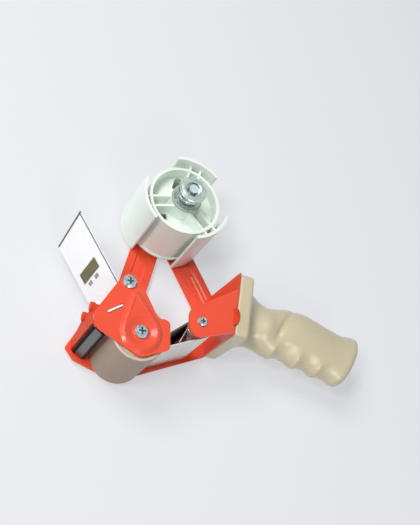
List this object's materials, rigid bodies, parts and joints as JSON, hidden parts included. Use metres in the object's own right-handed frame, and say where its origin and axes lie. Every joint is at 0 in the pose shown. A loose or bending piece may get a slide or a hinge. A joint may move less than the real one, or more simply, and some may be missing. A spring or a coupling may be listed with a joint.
{
  "type": "packing tape dispenser",
  "caption": "Hand-held dispenser that feeds packing tape from a spring-braked hub over a rubber roller and cuts it on a toothed blade beside a wiper flap.",
  "frame": {"origin": "middle of the outer face of the hub bolt head, on the hub axis, at the level the dispenser lies on", "axes": "+Z along the hub axis to the loading side, +X to the handle, +Y from the roller to the hub"},
  "size_m": [0.2627, 0.1849, 0.0776],
  "materials": {
    "red_paint": "glossy enamel",
    "hub_white": "moulded, satin",
    "grip_beige": "moulded, smooth",
    "roller_taupe": "smooth, matt",
    "core_cream": "moulded",
    "zinc": "bright zinc plate",
    "blade_steel": "ground steel",
    "flap_white": "smooth sheet",
    "guide_steel": "bright sheet",
    "strap_black": "matt",
    "fibre": "pressed fibre",
    "nylon": "moulded"
  },
  "bodies": {
    "frame": {"side_frame": "red_paint", "front_side_plate": "red_paint", "blade_guard": "red_paint", "spacer_post": "zinc", "post_screws": "zinc", "cutting_blade": "blade_steel", "blade_screws": "zinc", "hub_axle": "zinc", "lock_nut": "zinc", "fibre_washer": "fibre", "steel_washer": "zinc", "tension_spring": "zinc", "roller_axle": "zinc", "axle_screws": "zinc", "pivot_pin": "zinc", "pivot_screws": "zinc", "guide_spring": "zinc", "handle_grip": "grip_beige", "handle_screws": "zinc"},
    "hub": {"hub_drum": "hub_white", "hub_bush": "nylon"},
    "roller": {"roller_sleeve": "roller_taupe", "roller_core": "core_cream", "roller_bushes": "nylon"},
    "flap": {"wiper_flap": "flap_white"},
    "tape_guide": {"guide_plate": "guide_steel", "brake_tongue": "strap_black"},
    "nut": {"tension_nut": "zinc"}
  },
  "joints": [
    {"name": "hub_spin", "type": "hinge", "parent": "frame", "child": "hub", "pos_m": [0, 0, 0.0355], "axis": [0, 0, 1], "continuous": true},
    {"name": "roller_spin", "type": "hinge", "parent": "frame", "child": "roller", "pos_m": [-0.0356, -0.1252, 0.034], "axis": [0, 0, 1], "continuous": true},
    {"name": "flap_rock", "type": "hinge", "parent": "frame", "child": "flap", "pos_m": [-0.0559, -0.1099, 0.034], "axis": [0, 0, 1], "range_deg": [0, 3.5], "stiffness_Nm_per_rad": 0.5},
    {"name": "guide_swing", "type": "hinge", "parent": "frame", "child": "tape_guide", "pos_m": [0.0133, -0.1087, 0.034], "axis": [0, 0, 1], "range_deg": [0, 12], "stiffness_Nm_per_rad": 0.3, "deforming": ["guide_spring"]},
    {"name": "tension_nut_turn", "type": "hinge", "parent": "frame", "child": "nut", "pos_m": [0, 0, 0.0742], "axis": [0, 0, 1], "range_deg": [-180, 180]}
  ]
}
